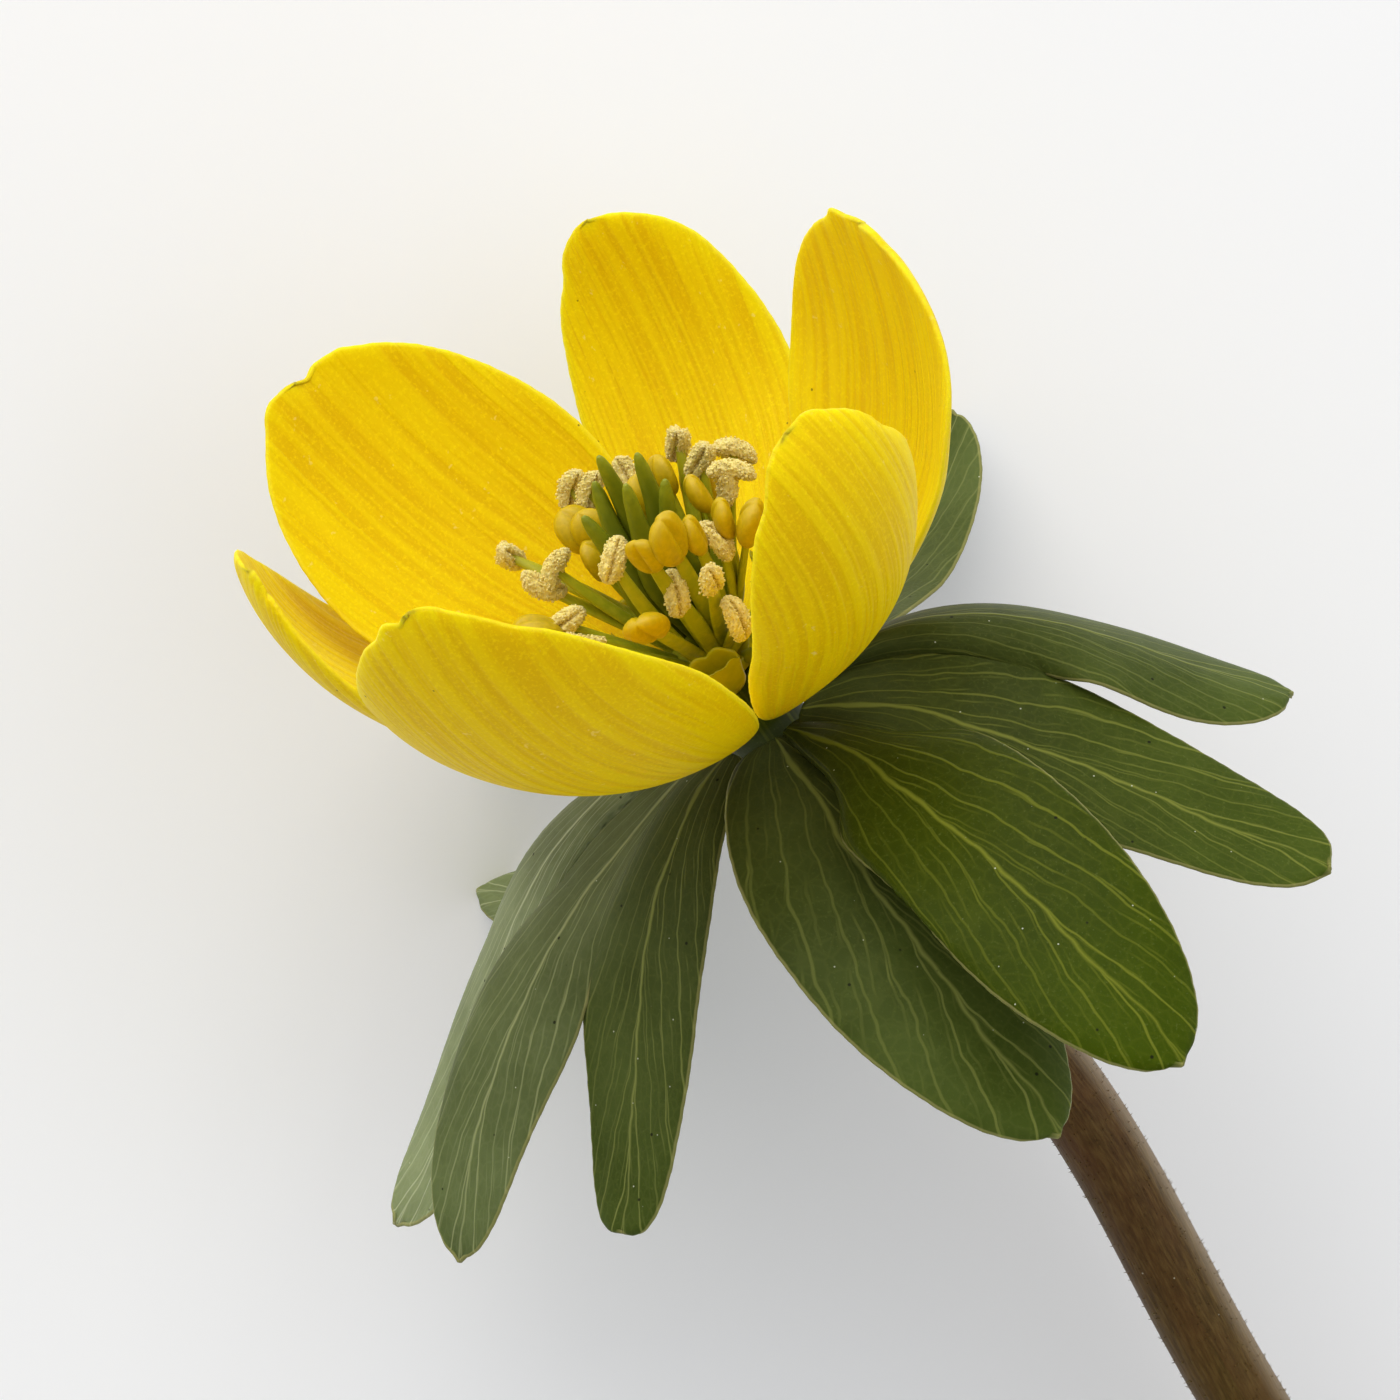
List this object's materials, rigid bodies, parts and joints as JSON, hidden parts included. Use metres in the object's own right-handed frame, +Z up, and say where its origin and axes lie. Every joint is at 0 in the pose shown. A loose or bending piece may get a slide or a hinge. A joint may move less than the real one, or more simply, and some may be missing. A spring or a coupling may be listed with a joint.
{
  "type": "winter aconite",
  "caption": "Cut winter aconite flower with a yellow cup of sepals over a ruff of lobed green bracts, lying on a surface, for decoration and still life scenes",
  "frame": {"origin": "middle of the footprint of the whole flower, on the surface it lies on", "axes": "+X runs along the stem from the bloom towards the cut end, +Z is up from the surface, +Y completes the right handed frame"},
  "size_m": [0.0902, 0.037, 0.0358],
  "materials": {
    "stem": "satin",
    "bract": "matte, slightly waxy",
    "sepal": "satin",
    "nectaries": "satin",
    "stamens": "powdery",
    "carpels": "satin"
  },
  "bodies": {
    "root": {"stem": "stem", "bract_1": "bract", "bract_2": "bract", "bract_3": "bract", "sepal_1": "sepal", "sepal_2": "sepal", "sepal_3": "sepal", "sepal_4": "sepal", "sepal_5": "sepal", "sepal_6": "sepal", "nectaries": "nectaries", "stamens": "stamens", "carpels": "carpels"}
  },
  "joints": []
}
